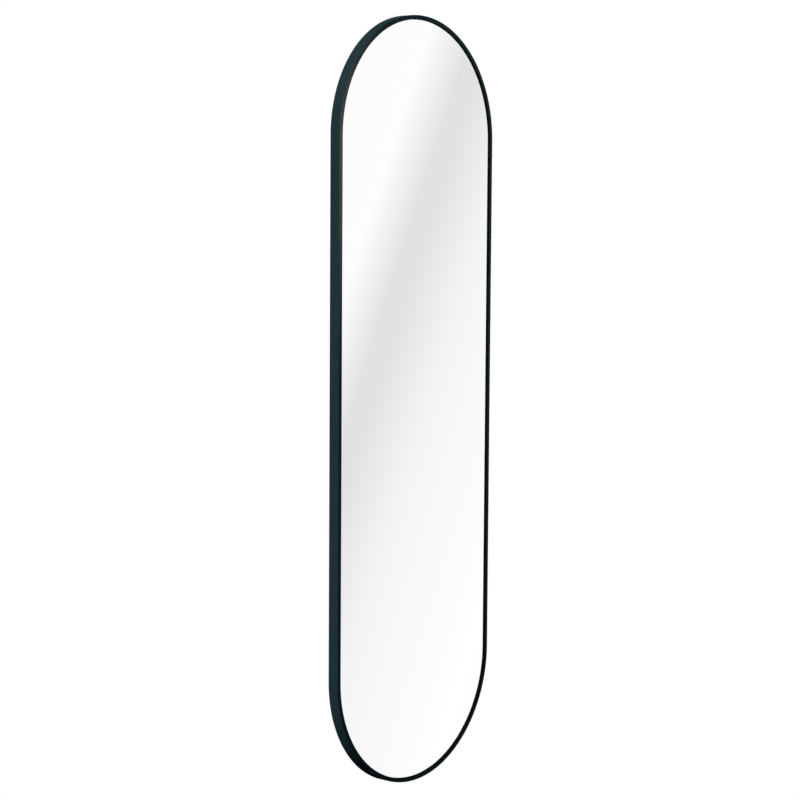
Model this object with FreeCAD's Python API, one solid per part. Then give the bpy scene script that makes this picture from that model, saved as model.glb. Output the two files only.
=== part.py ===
"""Pull out closet mirror: a pill shaped mirror that hangs beside a closet's side panel on two
ball bearing slides, and swings on two pivots near its front edge. Millimetres.

X runs along the side panel, and the mirror pulls out towards -X. The panel is the plane Y = 0 and
the mirror stands off it towards -Y, so "out" below is a distance from the panel: Y = -out. Z is up.
The origin is the centre of the mounting plate's face on the panel.
"""
import FreeCAD, Part
import math
import os
from FreeCAD import Vector

# ---------------------------------------------------------------- driving dimensions

# Mirror panel and its bent aluminium profile
MIRROR_W = 381.0
MIRROR_H = 1220.0
LIP_W = 7.0               # front lip, from the outside to its inner edge
OUTER_WALL = 1.6
REAR_FLANGE_W = 12.0      # web and rear flange reach this far in
WEB_T = 1.2
SLOT_DEPTH = 3.4          # rear slot between the web and the flange
REAR_FLANGE_T = 1.4
EDGE_ROUND = 1.2          # front outer edge of the profile
SMALL_ROUND = 0.5         # its other edges

# What lies in the profile's front slot, from the lip backwards
GASKET_T = 0.5
GLASS_RECESS = 2.4        # front of the lip to the face of the glass
GLASS_T = 4.0
FILM_T = 0.2
BOARD_T = 3.2
CUSHION_T = 3.2
GLASS_EDGE_GAP = 1.0      # between the glass and the outer wall
GASKET_EDGE_GAP = 0.4     # gasket short of the outer wall, and of the lip's inner edge
CUSHION_SETBACK = 1.0     # cushion strip short of the web's inner edge

# Rear slot hardware
SLOT_GAP = 0.2            # bars and splice plates to the web
BAR_H = 38.0
BAR_PAST_BRACKET = 2.0    # bar above the bracket's leaf
SLOT_END_GAP = 0.2        # flats to the outer wall
SPLICE_L = 120.0
SPLICE_SCREW_Z = (20.0, 46.0)
BAR_SCREW_RISE = 11.0     # screws above and below the bar's middle
FRAME_SCREW_R = 1.5
FRAME_SCREW_HEAD_R = 2.8
FRAME_SCREW_HEAD_T = 0.9
HOLE_GAP = 0.1            # radial, screw shank in its hole
DRIVER_SHARE = 0.6        # radius of the driver's recess, of the shank's

# Ball bearing slides
SLIDE_L = 300.0
SLIDE_H = 45.7
SLIDE_DEPTH = 12.7
SLIDE_HALF_SPACING = 250.0
OUTER_T = 1.3
MIDDLE_T = 1.2
INNER_T = 1.3
BALL_R = 1.8
BALL_GAP = 0.05           # ball to raceway
RACE_DEPTH = 0.3          # raceway cut into each flange
CAGE_T = 0.5
CAGE_GAP = 0.15           # cage to the member's web
BALL_PITCH = 16.0
MEMBER_SETBACK = 5.0      # middle and inner member inside the outer one's rear end
CAGE_MARGIN = 3.0         # cage inside the overlap of its two members at full travel
OUTER_LIP = 3.2
OUTER_SETBACK = 0.4       # outer member's lip behind the inner member's face
MIDDLE_SETBACK = 1.2      # middle member's edge behind it
MEMBER_BEND = 1.0         # inside radius of the members' bends
ROW_SETBACK = 2.2         # outer row's middle line, from the middle member's web
ROW_STAGGER = 2.8         # inner row's middle line, from the outer row's
INNER_REACH = 3.2         # inner member's edge, behind its row's middle line
CAGE_REACH = 0.9          # cage past its balls
CAGE_BEND = 0.3
POCKET_GAP = 0.1          # ball in its pocket
RIVET_INSET = 25.0        # end rivets from the member's ends

# Mounting plate
PLATE_T = 2.0
BAND_INSIDE = 32.0        # plate past the slide's middle line, towards the other slide
BAND_OUTSIDE = 44.0
SPINE_W = 90.0
SPINE_ROUND = 18.0
PLATE_ROUND = 6.0
PANEL_HOLE_R = 2.6
PANEL_HOLE_X = 85.0
PANEL_HOLE_INSET = 12.0   # below the band's outer edge
SPINE_HOLE_Z = 150.0
RIVET_R = 2.0
RIVET_HEAD_R = 3.4
RIVET_HEAD_T = 0.7
RIVET_TAIL = 0.2          # tails stay this far inside the plate's face

# Carriage
UPRIGHT_W = 30.0
UPRIGHT_DEPTH = 7.0
UPRIGHT_T = 2.0
UPRIGHT_PAST_SLIDE = 34.5  # upright past each slide's middle line
ARM_T = 3.0
ARM_SIDE_GAP = 3.5        # arm to the outside of the upright's flange
ARM_LEAF = 50.0
CARRIAGE_SCREW_R = 2.0
CARRIAGE_HEAD_R = 3.8
CARRIAGE_HEAD_T = 2.2
CARRIAGE_SCREW_SPREAD = 12.0
CARRIAGE_SCREW_TAIL = 0.6  # screw past its nut
NUT_ACROSS = 7.0
NUT_T = 3.2

# Swivel
PIVOT_CLEAR = 2.0         # pivot axis ahead of the slides' front end
PIVOT_INSET = 38.5        # pivot axis behind the mirror's front edge
PIVOT_TO_UPRIGHT = 8.0
EAR_R = 6.5
PIN_R = 4.0
PIN_HEAD_R = 5.0
PIN_HEAD_T = 3.0
PIN_GAP = 0.05            # running fit in the bush
SEAT_GAP = 0.02           # bush in its arm, pin in its bracket
BUSH_WALL = 0.95
BUSH_FLANGE_T = 1.0
CLIP_T = 0.8
CLIP_GROOVE = 1.0
CLIP_R = 6.0
CLIP_MOUTH_SHARE = 0.8    # width of the clip's mouth, of the groove's
CLIP_GAP = 0.2
PIN_TAIL = 2.0            # pin past its clip
BRACKET_T = 3.0
BRACKET_W = 46.0
BRACKET_LEAF = 43.0
BRACKET_SCREW_R = 2.0
BRACKET_HEAD_R = 3.6
BRACKET_HEAD_T = 1.8
BRACKET_SCREW_X = (0.0, 27.0)  # from the pivot axis
BEND_STUB = 2.0           # flat past the bracket's bend, which the neck joins
STOP_PIN_R = 1.5
STOP_PIN_REACH = 5.0      # from the pivot axis, towards the mirror's front edge
STOP_GAP = 0.1            # pin to the bracket's neck when the mirror is wide open
STOP_RIM = 1.5            # arm round the pin
BEND_R = 1.5              # inside radius of every bend

# Buffers behind the closed mirror
BUFFER_BASE_R = 8.0
BUFFER_TIP_R = 5.5
BUFFER_STEM_R = 3.0
BUFFER_BARB = 2.0         # length of the barb behind the member's web
BUFFER_BARB_LIP = 1.2     # barb wider than the stem
BUFFER_INSET = 20.0       # from the end of the inner member
BUFFER_EDGE_INSET = 60.0  # from the mirror's rear edge
TOUCH_GAP = 0.3           # soft or curved pieces of two bodies

# ---------------------------------------------------------------- derived places

# Back from the front of the frame
LIP_BACK = GLASS_RECESS - GASKET_T
GLASS_BACK = GLASS_RECESS + GLASS_T
FILM_BACK = GLASS_BACK + FILM_T
BOARD_BACK = FILM_BACK + BOARD_T
WEB_FRONT = BOARD_BACK + CUSHION_T
WEB_BACK = WEB_FRONT + WEB_T
FLANGE_FRONT = WEB_BACK + SLOT_DEPTH
FRAME_DEPTH = FLANGE_FRONT + REAR_FLANGE_T

# Out from the panel
SLIDE_BACK = PLATE_T
SLIDE_FRONT = SLIDE_BACK + SLIDE_DEPTH
FRAME_BACK = SLIDE_FRONT + UPRIGHT_DEPTH + TOUCH_GAP
FRAME_FRONT = FRAME_BACK + FRAME_DEPTH
BAR_T = SLOT_DEPTH - SLOT_GAP
BAR_BACK = FRAME_FRONT - FLANGE_FRONT
BAR_FRONT = BAR_BACK + BAR_T

PIVOT_X = -SLIDE_L / 2 - PIVOT_CLEAR
MIRROR_X = PIVOT_X - PIVOT_INSET + MIRROR_W / 2
ARC_Z = (MIRROR_H - MIRROR_W) / 2

UPRIGHT_X0 = PIVOT_X + PIVOT_TO_UPRIGHT
UPRIGHT_X1 = UPRIGHT_X0 + UPRIGHT_W
UPRIGHT_TOP = SLIDE_HALF_SPACING + UPRIGHT_PAST_SLIDE
EAR_BOTTOM = UPRIGHT_TOP + BEND_R
LEAF_BACK = SLIDE_FRONT + UPRIGHT_T
LEAF_FRONT = LEAF_BACK + ARM_T
ARM_X0 = UPRIGHT_X0 + ARM_SIDE_GAP
ARM_X1 = UPRIGHT_X1 - ARM_SIDE_GAP
ARM_TOP = EAR_BOTTOM + ARM_T
PIVOT_OUT = LEAF_FRONT - EAR_R
BUSH_R = PIN_R + PIN_GAP + BUSH_WALL
BRACKET_BOTTOM = ARM_TOP + BUSH_FLANGE_T
BRACKET_BACK = BAR_BACK - BRACKET_T
BAR_Z = BRACKET_BOTTOM + BRACKET_LEAF + BAR_PAST_BRACKET - BAR_H / 2
CLIP_TOP = EAR_BOTTOM - CLIP_GAP
STOP_X = PIVOT_X - STOP_PIN_REACH
STOP_OUT = PIVOT_OUT - EAR_R - STOP_GAP - STOP_PIN_R

OUTER_FLANGE = SLIDE_H / 2 - OUTER_T
OUTER_BALL_Z = OUTER_FLANGE + RACE_DEPTH - BALL_GAP - BALL_R
MIDDLE_HALF = OUTER_BALL_Z - BALL_R + RACE_DEPTH - BALL_GAP
MIDDLE_FLANGE = MIDDLE_HALF - MIDDLE_T
INNER_BALL_Z = MIDDLE_FLANGE + RACE_DEPTH - BALL_GAP - BALL_R
INNER_HALF = INNER_BALL_Z - BALL_R + RACE_DEPTH - BALL_GAP
MIDDLE_WEB = OUTER_T + CAGE_T + 2 * CAGE_GAP
INNER_WEB = SLIDE_DEPTH - INNER_T
OUTER_BALL_OUT = MIDDLE_WEB + MIDDLE_T + ROW_SETBACK
INNER_BALL_OUT = OUTER_BALL_OUT + ROW_STAGGER


# ---------------------------------------------------------------- shared shapes

def at(x, out, z):
    """A point from its distance out from the panel."""
    return Vector(x, -out, z)


def block(x0, x1, out0, out1, z0, z1):
    return Part.makeBox(x1 - x0, out1 - out0, z1 - z0, at(x0, out1, z0))


def rod_out(x, z, out0, out1, radius):
    """A round bar square to the panel."""
    return Part.makeCylinder(radius, out1 - out0, at(x, out0, z), Vector(0, -1, 0))


def rod_up(z0, z1, radius):
    """A round bar on the pivot axis."""
    return Part.makeCylinder(radius, z1 - z0, at(PIVOT_X, PIVOT_OUT, z0), Vector(0, 0, 1))


def below(shape):
    """The same piece at the other end of the mirror."""
    return shape.mirror(Vector(0, 0, 0), Vector(0, 0, 1))


def outline(corners, place):
    """A face inside (u, v, round) corners, each rounded with an arc, put in space by place(u, v)."""
    edges = []
    starts = []
    ends = []
    count = len(corners)
    for i, (u, v, radius) in enumerate(corners):
        here = Vector(u, v, 0)
        back = Vector(*corners[i - 1][:2], 0) - here
        ahead = Vector(*corners[(i + 1) % count][:2], 0) - here
        if radius == 0:
            starts.append(here)
            ends.append(here)
            continue
        half = back.getAngle(ahead) / 2
        back.normalize()
        ahead.normalize()
        run = radius / math.tan(half)
        inward = (back + ahead).normalize()
        middle = here + inward * (radius / math.sin(half) - radius)
        starts.append(here + back * run)
        ends.append(here + ahead * run)
        points = [place(p.x, p.y) for p in (starts[i], middle, ends[i])]
        edges.append(Part.Arc(*points).toShape())
    for i in range(count):
        tail = ends[i - 1]
        head = starts[i]
        if (head - tail).Length > 1e-6:
            edges.append(Part.LineSegment(place(tail.x, tail.y), place(head.x, head.y)).toShape())
    return Part.Face(Part.Wire(Part.__sortEdges__(edges)))


def sheet(points, thickness, mid_radius, place):
    """The cross-section of folded sheet whose middle line runs through the points (u, v)."""
    line = [Vector(u, v, 0) for u, v in points]
    sides = []
    for side in (1, -1):
        shift = side * thickness / 2
        edges = []
        start = None
        for i in range(len(line)):
            ahead = (line[min(i + 1, len(line) - 1)] - line[min(i, len(line) - 2)]).normalize()
            normal = Vector(-ahead.y, ahead.x, 0)
            if i in (0, len(line) - 1):
                stop = line[i] + normal * shift
                if start is not None:
                    edges.append((start, stop))
                start = stop
                continue
            before = (line[i] - line[i - 1]).normalize()
            turn = math.atan2(before.x * ahead.y - before.y * ahead.x, before.dot(ahead))
            run = mid_radius * math.tan(abs(turn) / 2)
            inside = Vector(-before.y, before.x, 0) * math.copysign(1, turn)
            centre = line[i] - before * run + inside * mid_radius
            radius = mid_radius - math.copysign(1, turn) * shift
            first = centre - inside * radius
            middle = centre + (line[i] - centre).normalize() * radius
            last = centre - Vector(-ahead.y, ahead.x, 0) * math.copysign(1, turn) * radius
            edges.append((start, first))
            edges.append((first, middle, last))
            start = last
        sides.append(edges)
    shapes = []
    for edges in sides:
        for edge in edges:
            curve = Part.Arc if len(edge) == 3 else Part.LineSegment
            shapes.append(curve(*[place(p.x, p.y) for p in edge]).toShape())
    for end in (0, -1):
        ends = [place(p.x, p.y) for p in (sides[0][end][end], sides[1][end][end])]
        shapes.append(Part.LineSegment(*ends).toShape())
    return Part.Face(Part.Wire(Part.__sortEdges__(shapes)))


def pill(inset, out0, out1):
    """A slab with the mirror's outline, inset all round."""
    radius = MIRROR_W / 2 - inset
    left = MIRROR_X - radius
    right = MIRROR_X + radius
    edges = [
        Part.LineSegment(at(right, out0, -ARC_Z), at(right, out0, ARC_Z)),
        Part.Arc(at(right, out0, ARC_Z), at(MIRROR_X, out0, ARC_Z + radius), at(left, out0, ARC_Z)),
        Part.LineSegment(at(left, out0, ARC_Z), at(left, out0, -ARC_Z)),
        Part.Arc(at(left, out0, -ARC_Z), at(MIRROR_X, out0, -ARC_Z - radius), at(right, out0, -ARC_Z)),
    ]
    face = Part.Face(Part.Wire([edge.toShape() for edge in edges]))
    return face.extrude(Vector(0, out0 - out1, 0))


def half_width(z, inset):
    """Half of the mirror's width at a height, inset all round."""
    radius = MIRROR_W / 2 - inset
    past = max(0.0, abs(z) - ARC_Z)
    return math.sqrt(radius ** 2 - past ** 2)


def save(name, *shapes):
    shape = shapes[0] if len(shapes) == 1 else Part.makeCompound(shapes)
    shape.exportStep(os.path.join("parts", name + ".step"))


# ---------------------------------------------------------------- mirror panel

def profile(corners):
    """One U of the frame with this cross-section: (in from the outside, back from the front, round)."""
    right = MIRROR_X + MIRROR_W / 2
    face = outline(corners, lambda inward, back: at(right - inward, FRAME_FRONT - back, ARC_Z))
    arch = face.revolve(Vector(MIRROR_X, 0, ARC_Z), Vector(0, -1, 0), 180)
    if arch.BoundBox.ZMax < ARC_Z + 1:
        arch = face.revolve(Vector(MIRROR_X, 0, ARC_Z), Vector(0, 1, 0), 180)
    leg = face.extrude(Vector(0, 0, -ARC_Z))
    other_leg = leg.mirror(Vector(MIRROR_X, 0, 0), Vector(1, 0, 0))
    return arch.fuse([leg, other_leg]).removeSplitter()


def flange_screw_places():
    """Middle of each screw in the rear flange of the upper half: (side, distance in, height)."""
    inset = (OUTER_WALL + REAR_FLANGE_W) / 2
    heights = list(SPLICE_SCREW_Z) + [BAR_Z - BAR_SCREW_RISE, BAR_Z + BAR_SCREW_RISE]
    return [(MIRROR_X + side * half_width(z, inset), z) for z in heights for side in (-1, 1)]


def frame_half():
    section = [
        (0, 0, EDGE_ROUND), (LIP_W, 0, SMALL_ROUND), (LIP_W, LIP_BACK, SMALL_ROUND),
        (OUTER_WALL, LIP_BACK, 0), (OUTER_WALL, WEB_FRONT, 0), (REAR_FLANGE_W, WEB_FRONT, 0),
        (REAR_FLANGE_W, WEB_BACK, 0), (OUTER_WALL, WEB_BACK, 0), (OUTER_WALL, FLANGE_FRONT, 0),
        (REAR_FLANGE_W, FLANGE_FRONT, 0),
        (REAR_FLANGE_W, FRAME_DEPTH, SMALL_ROUND), (0, FRAME_DEPTH, SMALL_ROUND),
    ]
    holes = [rod_out(x, z, FRAME_BACK - 1, BAR_BACK + 1, FRAME_SCREW_R + HOLE_GAP)
             for x, z in flange_screw_places()]
    return profile(section).cut(holes)


def make_frame():
    upper = frame_half()
    save("frame_upper", upper)
    save("frame_lower", below(upper))


def make_glazing():
    glass_face = FRAME_FRONT - GLASS_RECESS
    save("glazing_gasket", pill(OUTER_WALL + GASKET_EDGE_GAP, glass_face, FRAME_FRONT - LIP_BACK).cut(
        pill(LIP_W - GASKET_EDGE_GAP, glass_face - 1, FRAME_FRONT)))
    edge = OUTER_WALL + GLASS_EDGE_GAP
    save("mirror_glass", pill(edge, FRAME_FRONT - GLASS_BACK, glass_face))
    save("safety_film", pill(edge, FRAME_FRONT - FILM_BACK, FRAME_FRONT - GLASS_BACK))
    save("backing_board", pill(edge, FRAME_FRONT - BOARD_BACK, FRAME_FRONT - FILM_BACK))
    save("cushion_strip", pill(edge, FRAME_FRONT - WEB_FRONT, FRAME_FRONT - BOARD_BACK).cut(
        pill(REAR_FLANGE_W - CUSHION_SETBACK, FRAME_FRONT - WEB_FRONT - 1, FRAME_FRONT - BOARD_BACK + 1)))


def screw_from_behind(x, z, seat, head_r, head_t, shank_r):
    """A low headed screw whose head sits behind a face, ending flush with the bar's front."""
    head = rod_out(x, z, seat - head_t, seat, head_r)
    shank = rod_out(x, z, seat - head_t, BAR_FRONT, shank_r)
    driver = rod_out(x, z, seat - head_t - 1, seat - head_t / 3, shank_r * DRIVER_SHARE)
    return head.fuse(shank).removeSplitter().cut(driver)


def make_rear_hardware():
    places = flange_screw_places()
    screws = [screw_from_behind(x, z, FRAME_BACK, FRAME_SCREW_HEAD_R, FRAME_SCREW_HEAD_T, FRAME_SCREW_R)
              for x, z in places]
    save("frame_screws", *screws, *[below(screw) for screw in screws])
    holes = [rod_out(x, z, BAR_BACK - 1, BAR_FRONT + 1, FRAME_SCREW_R + HOLE_GAP / 2) for x, z in places]

    inset = OUTER_WALL + SLOT_END_GAP
    outer = half_width(0, inset)
    inner = half_width(0, REAR_FLANGE_W)
    plates = []
    for side in (-1, 1):
        x0, x1 = sorted((MIRROR_X + side * outer, MIRROR_X + side * inner))
        plate = block(x0, x1, BAR_BACK, BAR_FRONT, -SPLICE_L / 2, SPLICE_L / 2)
        plates.append(plate.cut(holes + [below(hole) for hole in holes]))
    save("splice_plates", *plates)

    reach = half_width(BAR_Z + BAR_H / 2, inset)
    bar = block(MIRROR_X - reach, MIRROR_X + reach, BAR_BACK, BAR_FRONT,
                BAR_Z - BAR_H / 2, BAR_Z + BAR_H / 2)
    bar = bar.cut(holes + [rod_out(x, z, BAR_BACK - 1, BAR_FRONT + 1, BRACKET_SCREW_R + HOLE_GAP / 2)
                           for x, z in bracket_screw_places()])
    save("cross_bar_upper", bar)
    save("cross_bar_lower", below(bar))


def bracket_screw_places():
    """Two screws near the free edge of the bracket's leaf, and one near its bend."""
    low, high = BRACKET_SCREW_X
    return [(PIVOT_X + low, BAR_Z + BAR_H / 4), (PIVOT_X + high, BAR_Z + BAR_H / 4),
            (PIVOT_X + (low + high) / 2, BAR_Z - BAR_H / 4)]


def make_hinge_brackets():
    """Angles on the cross bars. The ear of each takes the head end of a pivot pin, and its neck
    runs into the stop pin when the mirror is wide open."""
    half = BRACKET_T / 2
    bend = BEND_R + half
    x0 = PIVOT_X - EAR_R
    angle = sheet(
        [(BRACKET_BACK - BEND_R - BEND_STUB, BRACKET_BOTTOM + half),
         (BAR_BACK - half, BRACKET_BOTTOM + half), (BAR_BACK - half, BRACKET_BOTTOM + BRACKET_LEAF)],
        BRACKET_T, bend, lambda out, z: at(x0, out, z))
    angle = angle.extrude(Vector(BRACKET_W, 0, 0))
    ear = rod_up(BRACKET_BOTTOM, BRACKET_BOTTOM + BRACKET_T, EAR_R)
    neck = block(PIVOT_X - EAR_R, PIVOT_X + EAR_R, PIVOT_OUT, BRACKET_BACK - BEND_R - BEND_STUB / 2,
                 BRACKET_BOTTOM, BRACKET_BOTTOM + BRACKET_T)
    bracket = angle.fuse([ear, neck]).removeSplitter()
    holes = [rod_out(x, z, BRACKET_BACK - 1, BAR_BACK + 1, BRACKET_SCREW_R + HOLE_GAP)
             for x, z in bracket_screw_places()]
    holes.append(rod_up(BRACKET_BOTTOM - 1, BRACKET_BOTTOM + BRACKET_T + 1, PIN_R + SEAT_GAP))
    bracket = bracket.cut(holes)
    save("hinge_bracket_top", bracket)
    save("hinge_bracket_bottom", below(bracket))

    screws = [screw_from_behind(x, z, BRACKET_BACK, BRACKET_HEAD_R, BRACKET_HEAD_T, BRACKET_SCREW_R)
              for x, z in bracket_screw_places()]
    save("bracket_screws", *screws, *[below(screw) for screw in screws])


def make_pivot_pins():
    """Headed pins, and the clips in the grooves at their tails."""
    top = BRACKET_BOTTOM + BRACKET_T
    tail = CLIP_TOP - CLIP_T - PIN_TAIL
    pin = rod_up(tail, top, PIN_R).fuse(rod_up(top, top + PIN_HEAD_T, PIN_HEAD_R)).removeSplitter()
    groove = rod_up(CLIP_TOP - CLIP_T - SEAT_GAP, CLIP_TOP + SEAT_GAP, PIN_R + 1)
    groove = groove.cut(rod_up(CLIP_TOP - CLIP_T - SEAT_GAP, CLIP_TOP + SEAT_GAP, PIN_R - CLIP_GROOVE))
    driver = rod_up(top + PIN_HEAD_T / 3, top + PIN_HEAD_T + 1, PIN_R * DRIVER_SHARE)
    pin = pin.cut([groove, driver])
    save("pivot_pins", pin, below(pin))

    inner_r = PIN_R - CLIP_GROOVE + SEAT_GAP
    ring = rod_up(CLIP_TOP - CLIP_T, CLIP_TOP, CLIP_R).cut(rod_up(CLIP_TOP - CLIP_T, CLIP_TOP, inner_r))
    mouth = inner_r * CLIP_MOUTH_SHARE
    gap = block(PIVOT_X - CLIP_R - 1, PIVOT_X, PIVOT_OUT - mouth, PIVOT_OUT + mouth,
                CLIP_TOP - CLIP_T, CLIP_TOP)
    clip = ring.cut(gap)
    save("retaining_clips", clip, below(clip))


# ---------------------------------------------------------------- carriage

def carriage_screw_places():
    """Two screws through arm, upright and slide, and one past the slide."""
    middle = (ARM_X0 + ARM_X1) / 2
    spread = CARRIAGE_SCREW_SPREAD / 2
    past = UPRIGHT_TOP - CARRIAGE_HEAD_R
    return [(middle - spread, SLIDE_HALF_SPACING), (middle + spread, SLIDE_HALF_SPACING), (middle, past)]


def make_upright():
    half = UPRIGHT_T / 2
    section = sheet(
        [(UPRIGHT_X0 + half, SLIDE_FRONT + UPRIGHT_DEPTH), (UPRIGHT_X0 + half, SLIDE_FRONT + half),
         (UPRIGHT_X1 - half, SLIDE_FRONT + half), (UPRIGHT_X1 - half, SLIDE_FRONT + UPRIGHT_DEPTH)],
        UPRIGHT_T, BEND_R + half, lambda x, out: at(x, out, -UPRIGHT_TOP))
    upright = section.extrude(Vector(0, 0, 2 * UPRIGHT_TOP))
    holes = [rod_out(x, z, SLIDE_FRONT - 1, LEAF_BACK + 1, CARRIAGE_SCREW_R + HOLE_GAP)
             for x, z in carriage_screw_places()]
    save("carriage_upright", upright.cut(holes + [below(hole) for hole in holes]))


def stop_rod(z0, z1, radius):
    return Part.makeCylinder(radius, z1 - z0, at(STOP_X, STOP_OUT, z0), Vector(0, 0, 1))


def make_pivot_arms():
    """Bent arms screwed into the upright's ends. Their ears carry the bushes and the stop pins."""
    half = ARM_T / 2
    angle = sheet(
        [(LEAF_BACK + half, ARM_TOP - ARM_LEAF), (LEAF_BACK + half, EAR_BOTTOM + half),
         (PIVOT_OUT - EAR_R, EAR_BOTTOM + half)],
        ARM_T, BEND_R + half, lambda out, z: at(ARM_X0, out, z))
    angle = angle.extrude(Vector(ARM_X1 - ARM_X0, 0, 0))
    ear = rod_up(EAR_BOTTOM, ARM_TOP, EAR_R)
    neck = block(PIVOT_X, ARM_X0 + 1, PIVOT_OUT - EAR_R, LEAF_FRONT - BEND_R - ARM_T, EAR_BOTTOM, ARM_TOP)
    front = block(PIVOT_X, ARM_X0, PIVOT_OUT, LEAF_FRONT, EAR_BOTTOM, ARM_TOP)
    rim = STOP_PIN_R + STOP_RIM
    lobe = stop_rod(EAR_BOTTOM, ARM_TOP, rim)
    lobe = lobe.fuse(block(STOP_X - rim, STOP_X + rim, STOP_OUT, PIVOT_OUT, EAR_BOTTOM, ARM_TOP))
    arm = angle.fuse([ear, neck, front, lobe]).removeSplitter()
    holes = [rod_out(x, z, LEAF_BACK - 1, LEAF_FRONT + 1, CARRIAGE_SCREW_R + HOLE_GAP)
             for x, z in carriage_screw_places()]
    holes.append(rod_up(EAR_BOTTOM - 1, ARM_TOP + 1, BUSH_R + SEAT_GAP))
    holes.append(stop_rod(EAR_BOTTOM - 1, ARM_TOP + 1, STOP_PIN_R + SEAT_GAP))
    arm = arm.cut(holes)
    save("pivot_arm_top", arm)
    save("pivot_arm_bottom", below(arm))

    bush = rod_up(EAR_BOTTOM, ARM_TOP, BUSH_R).fuse(rod_up(ARM_TOP, BRACKET_BOTTOM, EAR_R)).removeSplitter()
    bush = bush.cut(rod_up(EAR_BOTTOM - 1, BRACKET_BOTTOM + 1, PIN_R + PIN_GAP))
    save("pivot_bushes", bush, below(bush))
    pin = stop_rod(EAR_BOTTOM, BRACKET_BOTTOM + BRACKET_T, STOP_PIN_R)
    save("stop_pins", pin, below(pin))


def make_carriage_fasteners():
    screws = []
    nuts = []
    for index, (x, z) in enumerate(carriage_screw_places()):
        nut_front = SLIDE_FRONT if index == 2 else SLIDE_FRONT - INNER_T
        tip = nut_front - NUT_T - CARRIAGE_SCREW_TAIL
        head = rod_out(x, z, LEAF_FRONT, LEAF_FRONT + CARRIAGE_HEAD_T, CARRIAGE_HEAD_R)
        shank = rod_out(x, z, tip, LEAF_FRONT + CARRIAGE_HEAD_T, CARRIAGE_SCREW_R)
        driver = rod_out(x, z, LEAF_FRONT + CARRIAGE_HEAD_T / 3, LEAF_FRONT + CARRIAGE_HEAD_T + 1,
                         CARRIAGE_SCREW_R * DRIVER_SHARE)
        screws.append(head.fuse(shank).removeSplitter().cut(driver))
        radius = NUT_ACROSS / math.sqrt(3)
        turns = [math.radians(60 * k) for k in range(6)]
        corners = [(x + radius * math.cos(turn), z + radius * math.sin(turn), 0) for turn in turns]
        nut = outline(corners, lambda u, v, front=nut_front: at(u, front, v)).extrude(Vector(0, NUT_T, 0))
        nuts.append(nut.cut(rod_out(x, z, tip, nut_front + 1, CARRIAGE_SCREW_R + SEAT_GAP)))
    save("carriage_screws", *screws, *[below(screw) for screw in screws])
    save("carriage_nuts", *nuts, *[below(nut) for nut in nuts])


def buffer_x():
    """As near the mirror's rear edge as both the inner member and the mirror allow."""
    return min(SLIDE_L / 2 - MEMBER_SETBACK - BUFFER_INSET, MIRROR_X + MIRROR_W / 2 - BUFFER_EDGE_INSET)


def make_rest_buffers():
    """Rubber buffers pushed through the inner members, which the board rests against when it is closed."""
    x = buffer_x()
    tip = FRAME_FRONT - BOARD_BACK - TOUCH_GAP
    web_back = SLIDE_FRONT - INNER_T
    base = at(x, SLIDE_FRONT, SLIDE_HALF_SPACING)
    cone = Part.makeCone(BUFFER_BASE_R, BUFFER_TIP_R, tip - SLIDE_FRONT, base, Vector(0, -1, 0))
    stem = rod_out(x, SLIDE_HALF_SPACING, web_back - BUFFER_BARB, SLIDE_FRONT, BUFFER_STEM_R)
    barb = rod_out(x, SLIDE_HALF_SPACING, web_back - BUFFER_BARB, web_back, BUFFER_STEM_R + BUFFER_BARB_LIP)
    buffer = cone.fuse([stem, barb]).removeSplitter()
    save("rest_buffers", buffer, below(buffer))


# ---------------------------------------------------------------- slides

def slide_place(x):
    """Puts a slide's cross-section, (out from its back, up from its middle), at its left end."""
    return lambda out, z: at(x, SLIDE_BACK + out, SLIDE_HALF_SPACING + z)


def raceways(ball_z, ball_out):
    """What a row of balls on each side takes out of a flange."""
    radius = BALL_R + BALL_GAP
    starts = [at(-SLIDE_L, SLIDE_BACK + ball_out, SLIDE_HALF_SPACING + side * ball_z) for side in (-1, 1)]
    return [Part.makeCylinder(radius, 2 * SLIDE_L, start, Vector(1, 0, 0)) for start in starts]


def member_ends():
    """Left end and length of the outer, middle and inner member at rest."""
    left = -SLIDE_L / 2
    middle = (left + MEMBER_SETBACK, SLIDE_L - 2 * MEMBER_SETBACK)
    return (left, SLIDE_L), middle, (left, SLIDE_L - MEMBER_SETBACK)


def rivet_xs():
    reach = SLIDE_L / 2 - RIVET_INSET
    return [-reach, 0.0, reach]


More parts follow.
